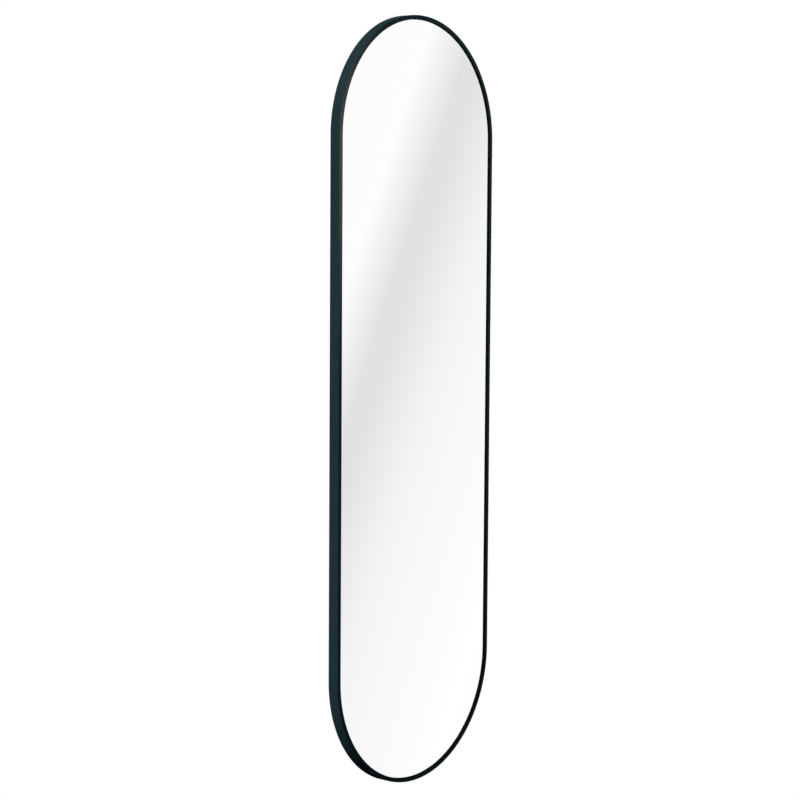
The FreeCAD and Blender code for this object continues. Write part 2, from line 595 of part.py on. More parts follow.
def make_outer_members():
    (left, length), _, _ = member_ends()
    half = OUTER_T / 2
    rim = SLIDE_H / 2 - half
    lip = SLIDE_H / 2 - OUTER_LIP
    front = SLIDE_DEPTH - OUTER_SETBACK - half
    points = [(front, -lip), (front, -rim), (half, -rim), (half, rim), (front, rim), (front, lip)]
    member = sheet(points, OUTER_T, MEMBER_BEND + half, slide_place(left)).extrude(Vector(length, 0, 0))
    member = member.cut(raceways(OUTER_BALL_Z, OUTER_BALL_OUT))
    web_front = SLIDE_BACK + OUTER_T
    sink = web_front - RIVET_HEAD_T - SEAT_GAP
    for x in rivet_xs():
        hole = rod_out(x, SLIDE_HALF_SPACING, SLIDE_BACK - 1, web_front + 1, RIVET_R + SEAT_GAP)
        counterbore = rod_out(x, SLIDE_HALF_SPACING, sink, web_front + 1, RIVET_HEAD_R + HOLE_GAP)
        member = member.cut([hole, counterbore])
    save("outer_member_upper", member)
    save("outer_member_lower", below(member))

    rivets = []
    for x in rivet_xs():
        shank = rod_out(x, SLIDE_HALF_SPACING, RIVET_TAIL, web_front, RIVET_R)
        head = rod_out(x, SLIDE_HALF_SPACING, web_front - RIVET_HEAD_T, web_front, RIVET_HEAD_R)
        rivets.append(shank.fuse(head).removeSplitter())
    save("slide_rivets", *rivets, *[below(rivet) for rivet in rivets])

    thick = MEMBER_SETBACK - TOUCH_GAP
    buffer = block(SLIDE_L / 2 - thick, SLIDE_L / 2, web_front, SLIDE_FRONT - SLIDE_BACK,
                   SLIDE_HALF_SPACING - INNER_HALF, SLIDE_HALF_SPACING + INNER_HALF)
    save("end_buffers", buffer, below(buffer))


def make_middle_members():
    _, (left, length), _ = member_ends()
    half = MIDDLE_T / 2
    rim = MIDDLE_HALF - half
    front = SLIDE_DEPTH - MIDDLE_SETBACK
    points = [(front, -rim), (MIDDLE_WEB + half, -rim), (MIDDLE_WEB + half, rim), (front, rim)]
    member = sheet(points, MIDDLE_T, MEMBER_BEND + half, slide_place(left)).extrude(Vector(length, 0, 0))
    member = member.cut(raceways(OUTER_BALL_Z, OUTER_BALL_OUT) + raceways(INNER_BALL_Z, INNER_BALL_OUT))
    save("middle_member_upper", member)
    save("middle_member_lower", below(member))


def make_inner_members():
    _, _, (left, length) = member_ends()
    half = INNER_T / 2
    rim = INNER_HALF - half
    rear = INNER_BALL_OUT - INNER_REACH
    points = [(rear, -rim), (INNER_WEB + half, -rim), (INNER_WEB + half, rim), (rear, rim)]
    member = sheet(points, INNER_T, MEMBER_BEND + half, slide_place(left)).extrude(Vector(length, 0, 0))
    member = member.cut(raceways(INNER_BALL_Z, INNER_BALL_OUT))
    web_back = SLIDE_FRONT - INNER_T
    holes = [rod_out(x, z, web_back - 1, SLIDE_FRONT + 1, CARRIAGE_SCREW_R + HOLE_GAP)
             for x, z in carriage_screw_places()[:2]]
    stem_r = BUFFER_STEM_R + SEAT_GAP
    holes.append(rod_out(buffer_x(), SLIDE_HALF_SPACING, web_back - 1, SLIDE_FRONT + 1, stem_r))
    member = member.cut(holes)
    save("inner_member_upper", member)
    save("inner_member_lower", below(member))


def cage_span():
    """Left end and length of a cage at rest, so that it stays between its members over the whole travel."""
    margin = SLIDE_L / 4 + MEMBER_SETBACK + CAGE_MARGIN
    return margin - SLIDE_L / 2, SLIDE_L - 2 * margin


def make_ball_row(kind, web_back, ball_z, ball_out):
    """A U shaped cage and its two rows of balls, for both slides."""
    left, length = cage_span()
    half = CAGE_T / 2
    reach = ball_out + BALL_R + CAGE_REACH
    points = [(reach, -ball_z), (web_back + half, -ball_z), (web_back + half, ball_z), (reach, ball_z)]
    cage = sheet(points, CAGE_T, CAGE_BEND + half, slide_place(left)).extrude(Vector(length, 0, 0))
    count = int((length - 4 * BALL_R) // BALL_PITCH) + 1
    first = left + (length - (count - 1) * BALL_PITCH) / 2
    balls = []
    pockets = []
    for k in range(count):
        for side in (-1, 1):
            centre = at(first + k * BALL_PITCH, SLIDE_BACK + ball_out, SLIDE_HALF_SPACING + side * ball_z)
            balls.append(Part.makeSphere(BALL_R, centre))
            foot = centre - Vector(0, 0, BALL_R)
            pockets.append(Part.makeCylinder(BALL_R + POCKET_GAP, 2 * BALL_R, foot))
    cage = cage.cut(pockets)
    save(kind + "_ball_cages", cage, below(cage))
    save(kind + "_race_balls", *balls, *[below(ball) for ball in balls])


# ---------------------------------------------------------------- mounting plate

def make_mounting_plate():
    """Two bands that the slides are riveted to, joined by a spine."""
    side = SLIDE_L / 2
    spine = SPINE_W / 2
    outer = SLIDE_HALF_SPACING + BAND_OUTSIDE
    inner = SLIDE_HALF_SPACING - BAND_INSIDE
    right = [(side, -outer, PLATE_ROUND), (side, -inner, PLATE_ROUND), (spine, -inner, SPINE_ROUND),
             (spine, inner, SPINE_ROUND), (side, inner, PLATE_ROUND), (side, outer, PLATE_ROUND)]
    left = [(-x, -z, radius) for x, z, radius in right]
    plate = outline(right + left, lambda x, z: at(x, 0, z)).extrude(Vector(0, -PLATE_T, 0))
    hole_z = outer - PANEL_HOLE_INSET
    holes = [(x, z) for x in (-PANEL_HOLE_X, PANEL_HOLE_X) for z in (-hole_z, hole_z)]
    holes += [(0, -SPINE_HOLE_Z), (0, SPINE_HOLE_Z)]
    cuts = [rod_out(x, z, -1, PLATE_T + 1, PANEL_HOLE_R) for x, z in holes]
    cuts += [rod_out(x, z, -1, PLATE_T + 1, RIVET_R + SEAT_GAP)
             for x in rivet_xs() for z in (-SLIDE_HALF_SPACING, SLIDE_HALF_SPACING)]
    save("mounting_plate", plate.cut(cuts))


os.makedirs("parts", exist_ok=True)
make_mounting_plate()
make_outer_members()
make_ball_row("outer", OUTER_T + CAGE_GAP, OUTER_BALL_Z, OUTER_BALL_OUT)
make_middle_members()
make_ball_row("inner", MIDDLE_WEB + MIDDLE_T + CAGE_GAP, INNER_BALL_Z, INNER_BALL_OUT)
make_inner_members()
make_upright()
make_pivot_arms()
make_carriage_fasteners()
make_rest_buffers()
make_frame()
make_glazing()
make_rear_hardware()
make_hinge_brackets()
make_pivot_pins()
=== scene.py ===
"""How the pull out closet mirror looks, piece by piece in the order in which it is put together.

Metres, in the part's own frame: X runs along the closet's side panel and the mirror pulls out
towards -X, the panel is the plane Y = 0 with the mirror in front of it at -Y, and Z is up.
"""
import math

import bmesh
import bpy
from mathutils import Matrix, Vector


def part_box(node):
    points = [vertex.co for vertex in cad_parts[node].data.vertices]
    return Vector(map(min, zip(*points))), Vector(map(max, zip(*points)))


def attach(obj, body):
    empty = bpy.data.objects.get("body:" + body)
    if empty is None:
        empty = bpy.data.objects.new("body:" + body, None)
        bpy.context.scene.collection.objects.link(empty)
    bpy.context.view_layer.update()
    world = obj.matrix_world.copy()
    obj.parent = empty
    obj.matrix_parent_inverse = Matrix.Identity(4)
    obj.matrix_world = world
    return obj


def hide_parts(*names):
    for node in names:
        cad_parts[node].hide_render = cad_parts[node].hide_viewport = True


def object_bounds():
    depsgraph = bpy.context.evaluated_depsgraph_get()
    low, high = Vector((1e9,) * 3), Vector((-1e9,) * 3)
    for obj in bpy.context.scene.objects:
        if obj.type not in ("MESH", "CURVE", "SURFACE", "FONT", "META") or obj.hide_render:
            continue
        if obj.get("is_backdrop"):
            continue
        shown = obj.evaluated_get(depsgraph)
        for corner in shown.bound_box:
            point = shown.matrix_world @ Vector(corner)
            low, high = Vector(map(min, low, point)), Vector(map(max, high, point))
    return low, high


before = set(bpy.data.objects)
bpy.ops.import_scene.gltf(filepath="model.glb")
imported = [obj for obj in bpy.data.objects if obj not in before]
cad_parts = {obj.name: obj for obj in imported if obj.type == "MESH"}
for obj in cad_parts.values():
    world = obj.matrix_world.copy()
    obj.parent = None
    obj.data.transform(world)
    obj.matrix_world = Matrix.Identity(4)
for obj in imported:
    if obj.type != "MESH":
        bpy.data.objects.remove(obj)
cad_low, cad_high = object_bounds()

# ---------------------------------------------------------------- mounting plate
# A 2 mm steel plate, laser cut with rounded corners and screwed flat to the closet's side panel.
# It is powder coated black after cutting, so its edges are soft and its face is faintly pebbled.


def linear(code):
    """The light values of a colour written as #RRGGBB."""
    parts = [int(code[i:i + 2], 16) / 255 for i in (1, 3, 5)]
    return [c / 12.92 if c <= 0.04045 else ((c + 0.055) / 1.055) ** 2.4 for c in parts] + [1.0]


def add(tree, kind, settings, links=()):
    """Adds a node. settings go to its properties or sockets, and links are (socket, output) pairs."""
    node = tree.nodes.new(kind)
    for name, value in settings.items():
        if name == "stops":
            while len(node.color_ramp.elements) < len(value):
                node.color_ramp.elements.new(1.0)
            for stop, (place, colour) in zip(node.color_ramp.elements, value):
                stop.position = place
                stop.color = colour
        elif isinstance(name, str) and hasattr(node, name):
            setattr(node, name, value)
        else:
            node.inputs[name].default_value = value
    for socket, output in links:
        tree.links.new(output, node.inputs[socket])
    return node


def finish(name, **sockets):
    """A new material, its node tree and its surface shader with these values on its sockets."""
    material = bpy.data.materials.new(name)
    material.use_nodes = True
    shader = material.node_tree.nodes["Principled BSDF"]
    for socket, value in sockets.items():
        shader.inputs[socket.replace("_", " ")].default_value = value
    return material, material.node_tree, shader


def dress(material, *nodes):
    """Gives the CAD pieces of these names their finish."""
    for name in nodes:
        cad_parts[name].material_slots[0].material = material


# Powder coat on steel, cured at 200 degrees: satin black, with an orange peel of about a
# millimetre that breaks up highlights, and a slightly uneven gloss over a few centimetres.
PEEL = 0.0011
PEEL_HEIGHT = 0.0002
GLOSS_PATCH = 0.03
black_coat, tree, shader = finish("powder_coated_steel_black")
shader.inputs["Specular IOR Level"].default_value = 0.25
where = add(tree, "ShaderNodeTexCoord", {}).outputs["Object"]
peel = add(tree, "ShaderNodeTexNoise", {"Scale": 1 / PEEL, "Detail": 2.0}, [("Vector", where)])
patch = add(tree, "ShaderNodeTexNoise", {"Scale": 1 / GLOSS_PATCH, "Detail": 3.0}, [("Vector", where)])
tint = add(tree, "ShaderNodeMix",
           {"data_type": "RGBA", 6: linear("#191A1C"), 7: linear("#222426")}, [(0, patch.outputs["Fac"])])
gloss = add(tree, "ShaderNodeMapRange", {"To Min": 0.42, "To Max": 0.55}, [("Value", patch.outputs["Fac"])])
bump = add(tree, "ShaderNodeBump", {"Strength": 0.18, "Distance": PEEL_HEIGHT},
           [("Height", peel.outputs["Fac"])])
tree.links.new(tint.outputs[2], shader.inputs["Base Color"])
tree.links.new(gloss.outputs["Result"], shader.inputs["Roughness"])
tree.links.new(bump.outputs["Normal"], shader.inputs["Normal"])
dress(black_coat, "mounting_plate")

# ---------------------------------------------------------------- outer slide members
# Roll formed from 1.3 mm zinc plated strip and riveted to the plate. Rolling leaves fine lines
# along the member, and plating leaves a pale blue grey with cloudy patches.

ROLL_LINE = 0.00035
ROLL_LENGTH = 0.12
ROLL_DEPTH = 0.0001
CLOUD = 0.018
zinc, tree, shader = finish("zinc_plated_steel_rolled", Metallic=1.0)
where = add(tree, "ShaderNodeTexCoord", {}).outputs["Object"]
along = add(tree, "ShaderNodeMapping", {"Scale": (1 / ROLL_LENGTH, 1 / ROLL_LINE, 1 / ROLL_LINE)},
            [("Vector", where)])
lines = add(tree, "ShaderNodeTexNoise", {"Scale": 1.0, "Detail": 3.0},
            [("Vector", along.outputs["Vector"])])
cloud = add(tree, "ShaderNodeTexNoise", {"Scale": 1 / CLOUD, "Detail": 4.0}, [("Vector", where)])
tint = add(tree, "ShaderNodeMix",
           {"data_type": "RGBA", 6: linear("#A9AFB5"), 7: linear("#CDD1D4")}, [(0, cloud.outputs["Fac"])])
gloss = add(tree, "ShaderNodeMapRange", {"To Min": 0.20, "To Max": 0.42}, [("Value", lines.outputs["Fac"])])
bump = add(tree, "ShaderNodeBump", {"Strength": 0.12, "Distance": ROLL_DEPTH},
           [("Height", lines.outputs["Fac"])])
tree.links.new(tint.outputs[2], shader.inputs["Base Color"])
tree.links.new(gloss.outputs["Result"], shader.inputs["Roughness"])
tree.links.new(bump.outputs["Normal"], shader.inputs["Normal"])
dress(zinc, "outer_member_upper", "outer_member_lower")

# ---------------------------------------------------------------- slide rivets
# Steel rivets with low domed heads sunk in the outer members' webs, set from behind the plate.
# They are tumble plated, which leaves a soft even zinc without rolling lines.

SIDES = 36  # round one turned piece, and six to each flat of a hexagon
TO_FRONT = Matrix.Rotation(math.radians(90), 4, "X")
TO_BACK = Matrix.Rotation(math.radians(-90), 4, "X")


def solids(node):
    """Lowest and highest corner of every solid in a CAD node."""
    mesh = bmesh.new()
    mesh.from_mesh(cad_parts[node].data)
    bmesh.ops.remove_doubles(mesh, verts=mesh.verts, dist=1e-6)
    left = set(mesh.verts)
    boxes = []
    while left:
        reached = {left.pop()}
        edge = set(reached)
        while edge:
            edge = {e.other_vert(v) for v in edge for e in v.link_edges} - reached
            reached |= edge
        left -= reached
        corners = [[pick(v.co[i] for v in reached) for i in range(3)] for pick in (min, max)]
        boxes.append(tuple(Vector(corner) for corner in corners))
    mesh.free()
    return boxes


def turned(mesh, place, rings, through=False):
    """A solid of stacked rings (radius, height), or (half across flats, height, 6) where it is a hexagon.

    It is closed at both ends, or joined from its last ring to its first if it has a hole through it."""
    loops = []
    for radius, height, *flats in rings:
        ring = bmesh.ops.create_circle(mesh, segments=SIDES, radius=radius)["verts"]
        for vert in ring:
            if flats:
                turn = math.atan2(vert.co.y, vert.co.x) % math.radians(60)
                vert.co /= math.cos(turn - math.radians(30))
            vert.co.z = height
        bmesh.ops.transform(mesh, matrix=place, verts=ring)
        loops.append(list({edge for vert in ring for edge in vert.link_edges}))
    for lower, upper in zip(loops, loops[1:] + loops[:1] if through else loops[1:]):
        bmesh.ops.bridge_loops(mesh, edges=lower + upper)
    if not through:
        bmesh.ops.contextual_create(mesh, geom=loops[0])
        bmesh.ops.contextual_create(mesh, geom=loops[-1])


def piece(name, mesh, material, body, slot, *nodes, edge=0.00015):
    """Makes an object of a finished mesh, softens its edges, and lets it stand for the CAD nodes."""
    bmesh.ops.recalc_face_normals(mesh, faces=mesh.faces)
    for face in mesh.faces:
        face.smooth = True
    data = bpy.data.meshes.new(name)
    mesh.to_mesh(data)
    mesh.free()
    data.materials.append(material)
    made = bpy.data.objects.new(name, data)
    bpy.context.scene.collection.objects.link(made)
    soft = made.modifiers.new("soft edges", "BEVEL")
    soft.width = edge
    soft.segments = 2
    soft.limit_method = "ANGLE"
    soft.angle_limit = math.radians(35)
    soft.harden_normals = True
    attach(made, body)
    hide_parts(*nodes)
    return made


# Tumbled zinc: brighter than the strip, and mottled where the parts knocked together.
KNOCK = 0.0009
plated, tree, shader = finish("zinc_plated_steel_tumbled", Metallic=1.0)
where = add(tree, "ShaderNodeTexCoord", {}).outputs["Object"]
knock = add(tree, "ShaderNodeTexNoise", {"Scale": 1 / KNOCK, "Detail": 3.0}, [("Vector", where)])
tint = add(tree, "ShaderNodeMix",
           {"data_type": "RGBA", 6: linear("#B4B8BB"), 7: linear("#D6D9DA")}, [(0, knock.outputs["Fac"])])
gloss = add(tree, "ShaderNodeMapRange", {"To Min": 0.20, "To Max": 0.38}, [("Value", knock.outputs["Fac"])])
tree.links.new(tint.outputs[2], shader.inputs["Base Color"])
tree.links.new(gloss.outputs["Result"], shader.inputs["Roughness"])

RIVET_SHANK = 0.0020
RIVET_RISE = 0.0007
mesh = bmesh.new()
for low, high in solids("slide_rivets"):
    head = (high.x - low.x) / 2
    seat = low.y + RIVET_RISE
    place = Matrix.Translation(((low.x + high.x) / 2, seat, (low.z + high.z) / 2)) @ TO_FRONT
    turned(mesh, place, [
        (RIVET_SHANK, seat - high.y), (RIVET_SHANK, 0), (head, 0), (head, RIVET_RISE * 0.35),
        (head * 0.8, RIVET_RISE * 0.8), (head * 0.4, RIVET_RISE)])
piece("rivets", mesh, plated, "root", "screw_steel", "slide_rivets", edge=0.0001)

# ---------------------------------------------------------------- end buffers
# Moulded rubber blocks pressed into the rear ends of the outer members, where the middle and
# inner members come to rest. Their faces are ribbed so that they give.

RIB_CUTS = 8
RIB_DEPTH = 0.0008
RUBBER_GRAIN = 0.0005
GRAIN_HEIGHT = 0.0001
BLOOM = 0.012
rubber, tree, shader = finish("moulded_rubber_black", Roughness=0.72)
shader.inputs["Specular IOR Level"].default_value = 0.35
where = add(tree, "ShaderNodeTexCoord", {}).outputs["Object"]
grain = add(tree, "ShaderNodeTexNoise", {"Scale": 1 / RUBBER_GRAIN, "Detail": 3.0}, [("Vector", where)])
bloom = add(tree, "ShaderNodeTexNoise", {"Scale": 1 / BLOOM, "Detail": 3.0}, [("Vector", where)])
tint = add(tree, "ShaderNodeMix",
           {"data_type": "RGBA", 6: linear("#121212"), 7: linear("#1E1E1D")}, [(0, bloom.outputs["Fac"])])
bump = add(tree, "ShaderNodeBump", {"Strength": 0.25, "Distance": GRAIN_HEIGHT},
           [("Height", grain.outputs["Fac"])])
tree.links.new(tint.outputs[2], shader.inputs["Base Color"])
tree.links.new(bump.outputs["Normal"], shader.inputs["Normal"])

mesh = bmesh.new()
for low, high in solids("end_buffers"):
    size = Matrix.Diagonal((*(high - low), 1))
    block = bmesh.ops.create_cube(mesh, size=1, matrix=Matrix.Translation((low + high) / 2) @ size)["verts"]
    upright = [edge for edge in {e for v in block for e in v.link_edges}
               if abs(edge.verts[0].co.z - edge.verts[1].co.z) > 1e-4]
    bmesh.ops.subdivide_edges(mesh, edges=upright, cuts=RIB_CUTS, use_grid_fill=True)
    faces = sorted((face for face in mesh.faces
                    if face.normal.x < -0.9 and low.z < face.calc_center_median().z < high.z),
                   key=lambda face: face.calc_center_median().z)
    grooves = bmesh.ops.extrude_discrete_faces(mesh, faces=faces[1::2])["faces"]
    bmesh.ops.translate(mesh, vec=(RIB_DEPTH, 0, 0),
                        verts=list({vert for face in grooves for vert in face.verts}))
piece("end_stops", mesh, rubber, "root", "gasket_rubber", "end_buffers", edge=0.0003)

# ---------------------------------------------------------------- ball cages and balls
# Cages are pressed from half millimetre spring steel and left bare, slightly straw coloured by
# heat. The balls are hardened steel, lapped to a mirror and lightly oiled.

HEAT_STAIN = 0.006
bare_steel, tree, shader = finish("spring_steel_pressed", Metallic=1.0)
where = add(tree, "ShaderNodeTexCoord", {}).outputs["Object"]
stain = add(tree, "ShaderNodeTexNoise", {"Scale": 1 / HEAT_STAIN, "Detail": 4.0}, [("Vector", where)])
tint = add(tree, "ShaderNodeMix",
           {"data_type": "RGBA", 6: linear("#8F8A80"), 7: linear("#B9B5AC")}, [(0, stain.outputs["Fac"])])
gloss = add(tree, "ShaderNodeMapRange", {"To Min": 0.26, "To Max": 0.42}, [("Value", stain.outputs["Fac"])])
tree.links.new(tint.outputs[2], shader.inputs["Base Color"])
tree.links.new(gloss.outputs["Result"], shader.inputs["Roughness"])
dress(bare_steel, "outer_ball_cages", "inner_ball_cages")

OIL_SMEAR = 0.0025
ball_steel, tree, shader = finish("hardened_steel_lapped", Metallic=1.0)
shader.inputs["Base Color"].default_value = linear("#D3D5D6")
where = add(tree, "ShaderNodeTexCoord", {}).outputs["Object"]
smear = add(tree, "ShaderNodeTexNoise", {"Scale": 1 / OIL_SMEAR, "Detail": 2.0}, [("Vector", where)])
gloss = add(tree, "ShaderNodeMapRange", {"To Min": 0.04, "To Max": 0.16}, [("Value", smear.outputs["Fac"])])
tree.links.new(gloss.outputs["Result"], shader.inputs["Roughness"])
dress(ball_steel, "outer_race_balls", "inner_race_balls")

# ---------------------------------------------------------------- middle and inner members
# Roll formed from the same zinc plated strip as the outer members. The middle one floats between
# two rows of balls, and the inner one is screwed to the carriage's upright.

dress(zinc, "middle_member_upper", "middle_member_lower", "inner_member_upper", "inner_member_lower")

# ---------------------------------------------------------------- upright and pivot arms
# A folded 2 mm channel and two bent 3 mm arms, powder coated like the plate. The arms are
# screwed into the channel's ends and carry the pivots.

dress(black_coat, "carriage_upright", "pivot_arm_top", "pivot_arm_bottom")

# ---------------------------------------------------------------- carriage screws and nuts
# M4 button head screws with hexagon sockets, put through from the mirror's side, and plain
# hexagon nuts behind the inner members and the upright. Both are tumble plated.

THREAD_PITCH = 0.0007
THREAD_DEPTH = 0.00022
THREAD_TURNS = 7
M4_SHANK = 0.0020
M4_POINT = 0.0004  # how far the tip is turned down
M4_SOCKET = 0.00125  # half across its flats
M4_RISE = 0.0022


def button_head(radius, rise, socket):
    """Rings of a button head with a hexagon socket, from the seat up."""
    return [(radius, 0), (radius, rise * 0.30), (radius * 0.93, rise * 0.62), (radius * 0.76, rise * 0.90),
            (socket * 1.35, rise), (socket * 1.18, rise), (socket, rise * 0.86, 6), (socket, rise * 0.3, 6),
            (socket * 0.3, rise * 0.22)]


mesh = bmesh.new()
for low, high in solids("carriage_screws"):
    seat = low.y + M4_RISE
    place = Matrix.Translation(((low.x + high.x) / 2, seat, (low.z + high.z) / 2)) @ TO_FRONT
    tip = seat - high.y
    thread = [(M4_SHANK - M4_POINT, tip)]
    for turn in range(THREAD_TURNS):
        foot = tip + M4_POINT / 2 + turn * THREAD_PITCH
        thread += [(M4_SHANK - THREAD_DEPTH, foot), (M4_SHANK, foot + THREAD_PITCH / 2)]
    turned(mesh, place, thread + [(M4_SHANK, 0)] + button_head((high.x - low.x) / 2, M4_RISE, M4_SOCKET))
piece("arm_screws", mesh, plated, "carriage", "screw_steel", "carriage_screws", edge=0.00008)

NUT_BORE = 0.0020
NUT_SINK = 0.0004    # countersink of its bore
NUT_FOOT = 0.0003    # height of the bevel round its seat
NUT_CROWN = 0.0005   # and of the one round its top
NUT_FACE = 0.96      # radius of its round seat and top, of half its flats
mesh = bmesh.new()
for low, high in solids("carriage_nuts"):
    flats = (high.z - low.z) / 2
    thick = high.y - low.y
    place = Matrix.Translation(((low.x + high.x) / 2, low.y, (low.z + high.z) / 2)) @ TO_BACK
    turned(mesh, place, [
        (NUT_BORE, 0), (flats * NUT_FACE, 0), (flats, NUT_FOOT, 6), (flats, thick - NUT_CROWN, 6),
        (flats * NUT_FACE, thick), (NUT_BORE + NUT_SINK, thick), (NUT_BORE, thick - NUT_SINK)], through=True)
piece("arm_nuts", mesh, plated, "carriage", "screw_steel", "carriage_nuts", edge=0.00008)

# ---------------------------------------------------------------- pivot bushes and stop pins
# Flanged bushes moulded in natural nylon and pressed into the arms, and ground steel pins beside
# them that the bracket meets when the mirror is wide open.

FLOW = 0.004
nylon, tree, shader = finish("moulded_nylon_natural", Roughness=0.38)
shader.inputs["Subsurface Weight"].default_value = 0.25
shader.inputs["Subsurface Scale"].default_value = 0.001
where = add(tree, "ShaderNodeTexCoord", {}).outputs["Object"]
flow = add(tree, "ShaderNodeTexNoise", {"Scale": 1 / FLOW, "Detail": 2.0}, [("Vector", where)])
tint = add(tree, "ShaderNodeMix",
           {"data_type": "RGBA", 6: linear("#DFDBCE"), 7: linear("#EDEBE2")}, [(0, flow.outputs["Fac"])])
tree.links.new(tint.outputs[2], shader.inputs["Base Color"])

UPRIGHT_WAY = {1: Matrix.Identity(4), -1: Matrix.Rotation(math.pi, 4, "X")}
PIN_R = 0.0040
BUSH_BORE = 0.00405
BUSH_R = 0.0050
BUSH_LEAD = 0.0003  # bevels that lead the bush into its arm and the pin into the bush
BUSH_NOSE = 0.0002
ARM_T = 0.0030
mesh = bmesh.new()
for low, high in solids("pivot_bushes"):
    up = 1 if low.z > 0 else -1
    foot = low.z if up > 0 else high.z
    flange = (high.x - low.x) / 2
    thick = high.z - low.z
    place = Matrix.Translation(((low.x + high.x) / 2, (low.y + high.y) / 2, foot)) @ UPRIGHT_WAY[up]
    turned(mesh, place, [
        (BUSH_BORE, BUSH_LEAD), (BUSH_BORE + BUSH_LEAD, 0), (BUSH_R - BUSH_NOSE, 0), (BUSH_R, BUSH_LEAD),
        (BUSH_R, ARM_T), (flange, ARM_T), (flange, thick), (BUSH_BORE + BUSH_LEAD, thick),
        (BUSH_BORE, thick - BUSH_LEAD)], through=True)
piece("bushes", mesh, nylon, "carriage", "nylon", "pivot_bushes", edge=0.00012)

STOP_TAPER = 0.0005
STOP_TIP = 0.6  # radius of its ends, of its own
mesh = bmesh.new()
for low, high in solids("stop_pins"):
    radius = (high.x - low.x) / 2
    place = Matrix.Translation(((low.x + high.x) / 2, (low.y + high.y) / 2, low.z))
    height = high.z - low.z
    turned(mesh, place, [
        (radius * STOP_TIP, 0), (radius, STOP_TAPER), (radius, height - STOP_TAPER),
        (radius * STOP_TIP, height)])
piece("stops", mesh, plated, "carriage", "screw_steel", "stop_pins", edge=0.0001)

# ---------------------------------------------------------------- rest buffers
# Soft rubber cones with a barbed stem, pulled through holes in the inner members. The closed
# mirror's back leans on their rounded tips.

BARB = 0.0020
BARB_TIP = 0.0002   # wider than the stem at its tip
BARB_LIP = 0.0012   # and at its lip
BARB_LAND = 0.0003
WEB = 0.0013
STEM_R = 0.0030
BASE_RIM = 0.0012
BASE_STEP = 0.0006
TAPER = 0.0025
# The cone's rounded tip and the dimple in it: (wider than the cone's own tip, short of its end).
CONE_TIP = [(0.0001, 0.0016), (-0.0004, 0.0005), (-0.0012, 0), (-0.0030, 0), (-0.0036, 0.0008)]
mesh = bmesh.new()
for low, high in solids("rest_buffers"):
    base = (high.x - low.x) / 2
    tip = base - TAPER
    reach = high.y - low.y - BARB - WEB
    place = Matrix.Translation(((low.x + high.x) / 2, high.y - BARB - WEB, (low.z + high.z) / 2)) @ TO_FRONT
    turned(mesh, place, [
        (STEM_R + BARB_TIP, -WEB - BARB), (STEM_R + BARB_LIP, -WEB - BARB_LAND), (STEM_R + BARB_LIP, -WEB),
        (STEM_R, -WEB), (STEM_R, 0), (base, 0), (base, BASE_RIM), (base - BASE_STEP, BASE_RIM + BASE_STEP)]
        + [(tip + wider, reach - short) for wider, short in CONE_TIP])
piece("lean_buffers", mesh, rubber, "carriage", "gasket_rubber", "rest_buffers", edge=0.0003)

# ---------------------------------------------------------------- frame
# Two lengths of aluminium profile, each bent to a U round the glass and butted at mid height.
# The profile has a narrow front lip, a deep flat side, and a web and flange for what lies behind.

LIP_W = 0.0070
OUTER_WALL = 0.0016
FLANGE_W = 0.0120
WEB_T = 0.0012
FRONT_ROUND = 0.0012
SMALL_ROUND = 0.0005
ROUND_CHORD = 0.7   # from a square corner to the chord of its round, of the round's radius
ROUND_STEPS = 4
ARC_STEPS = 120
SHADE_EDGE_INSET = 0.0002  # the painted shade on the lip's inner edge starts this far short of it

frame_low, frame_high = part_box("frame_upper")
radius = (frame_high.x - frame_low.x) / 2
middle_x = (frame_high.x + frame_low.x) / 2
arc_z = frame_high.z - radius
lip_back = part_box("glazing_gasket")[0].y
web_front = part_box("cushion_strip")[1].y
flange_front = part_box("cross_bar_upper")[1].y

# Powder coat on aluminium: a dark petrol that is all but black, matt enough to hold back white
# surroundings, with a finer peel than the steel's. The lip's inner edge, a recess in shade, is given
# painted shade in near black, so that it and its image in the glass make one shadow line.
FINE_PEEL = 0.0008
FINE_PEEL_HEIGHT = 0.0002
TINT_PATCH = 0.05
petrol_coat, tree, shader = finish("powder_coated_aluminium_petrol", IOR=1.06)
shader.inputs["Specular IOR Level"].default_value = 0.02
where = add(tree, "ShaderNodeTexCoord", {}).outputs["Object"]
peel = add(tree, "ShaderNodeTexNoise", {"Scale": 1 / FINE_PEEL, "Detail": 2.0}, [("Vector", where)])
patch = add(tree, "ShaderNodeTexNoise", {"Scale": 1 / TINT_PATCH, "Detail": 3.0}, [("Vector", where)])
tint = add(tree, "ShaderNodeMix",
           {"data_type": "RGBA", 6: linear("#263A3E"), 7: linear("#1F3236")}, [(0, patch.outputs["Fac"])])
gloss = add(tree, "ShaderNodeMapRange", {"To Min": 0.32, "To Max": 0.40}, [("Value", patch.outputs["Fac"])])
bump = add(tree, "ShaderNodeBump", {"Strength": 0.10, "Distance": FINE_PEEL_HEIGHT},
           [("Height", peel.outputs["Fac"])])
# Painted shade: the lip's inner edge faces are mixed to near black, in place of the shade that falls in the
# recess by the glass.
inside = add(tree, "ShaderNodeAttribute", {"attribute_name": "inner_edge"})
edged = add(tree, "ShaderNodeMix", {"data_type": "RGBA", 7: linear("#060606")},
            [(0, inside.outputs["Fac"]), (6, tint.outputs[2])])
tree.links.new(edged.outputs[2], shader.inputs["Base Color"])
tree.links.new(gloss.outputs["Result"], shader.inputs["Roughness"])
tree.links.new(bump.outputs["Normal"], shader.inputs["Normal"])


def from_edge(point):
    """How far a point of the frame lies inside its outline."""
    past_arc = max(abs(point.z) - arc_z, 0)
    return radius - math.hypot(point.x - middle_x, past_arc)


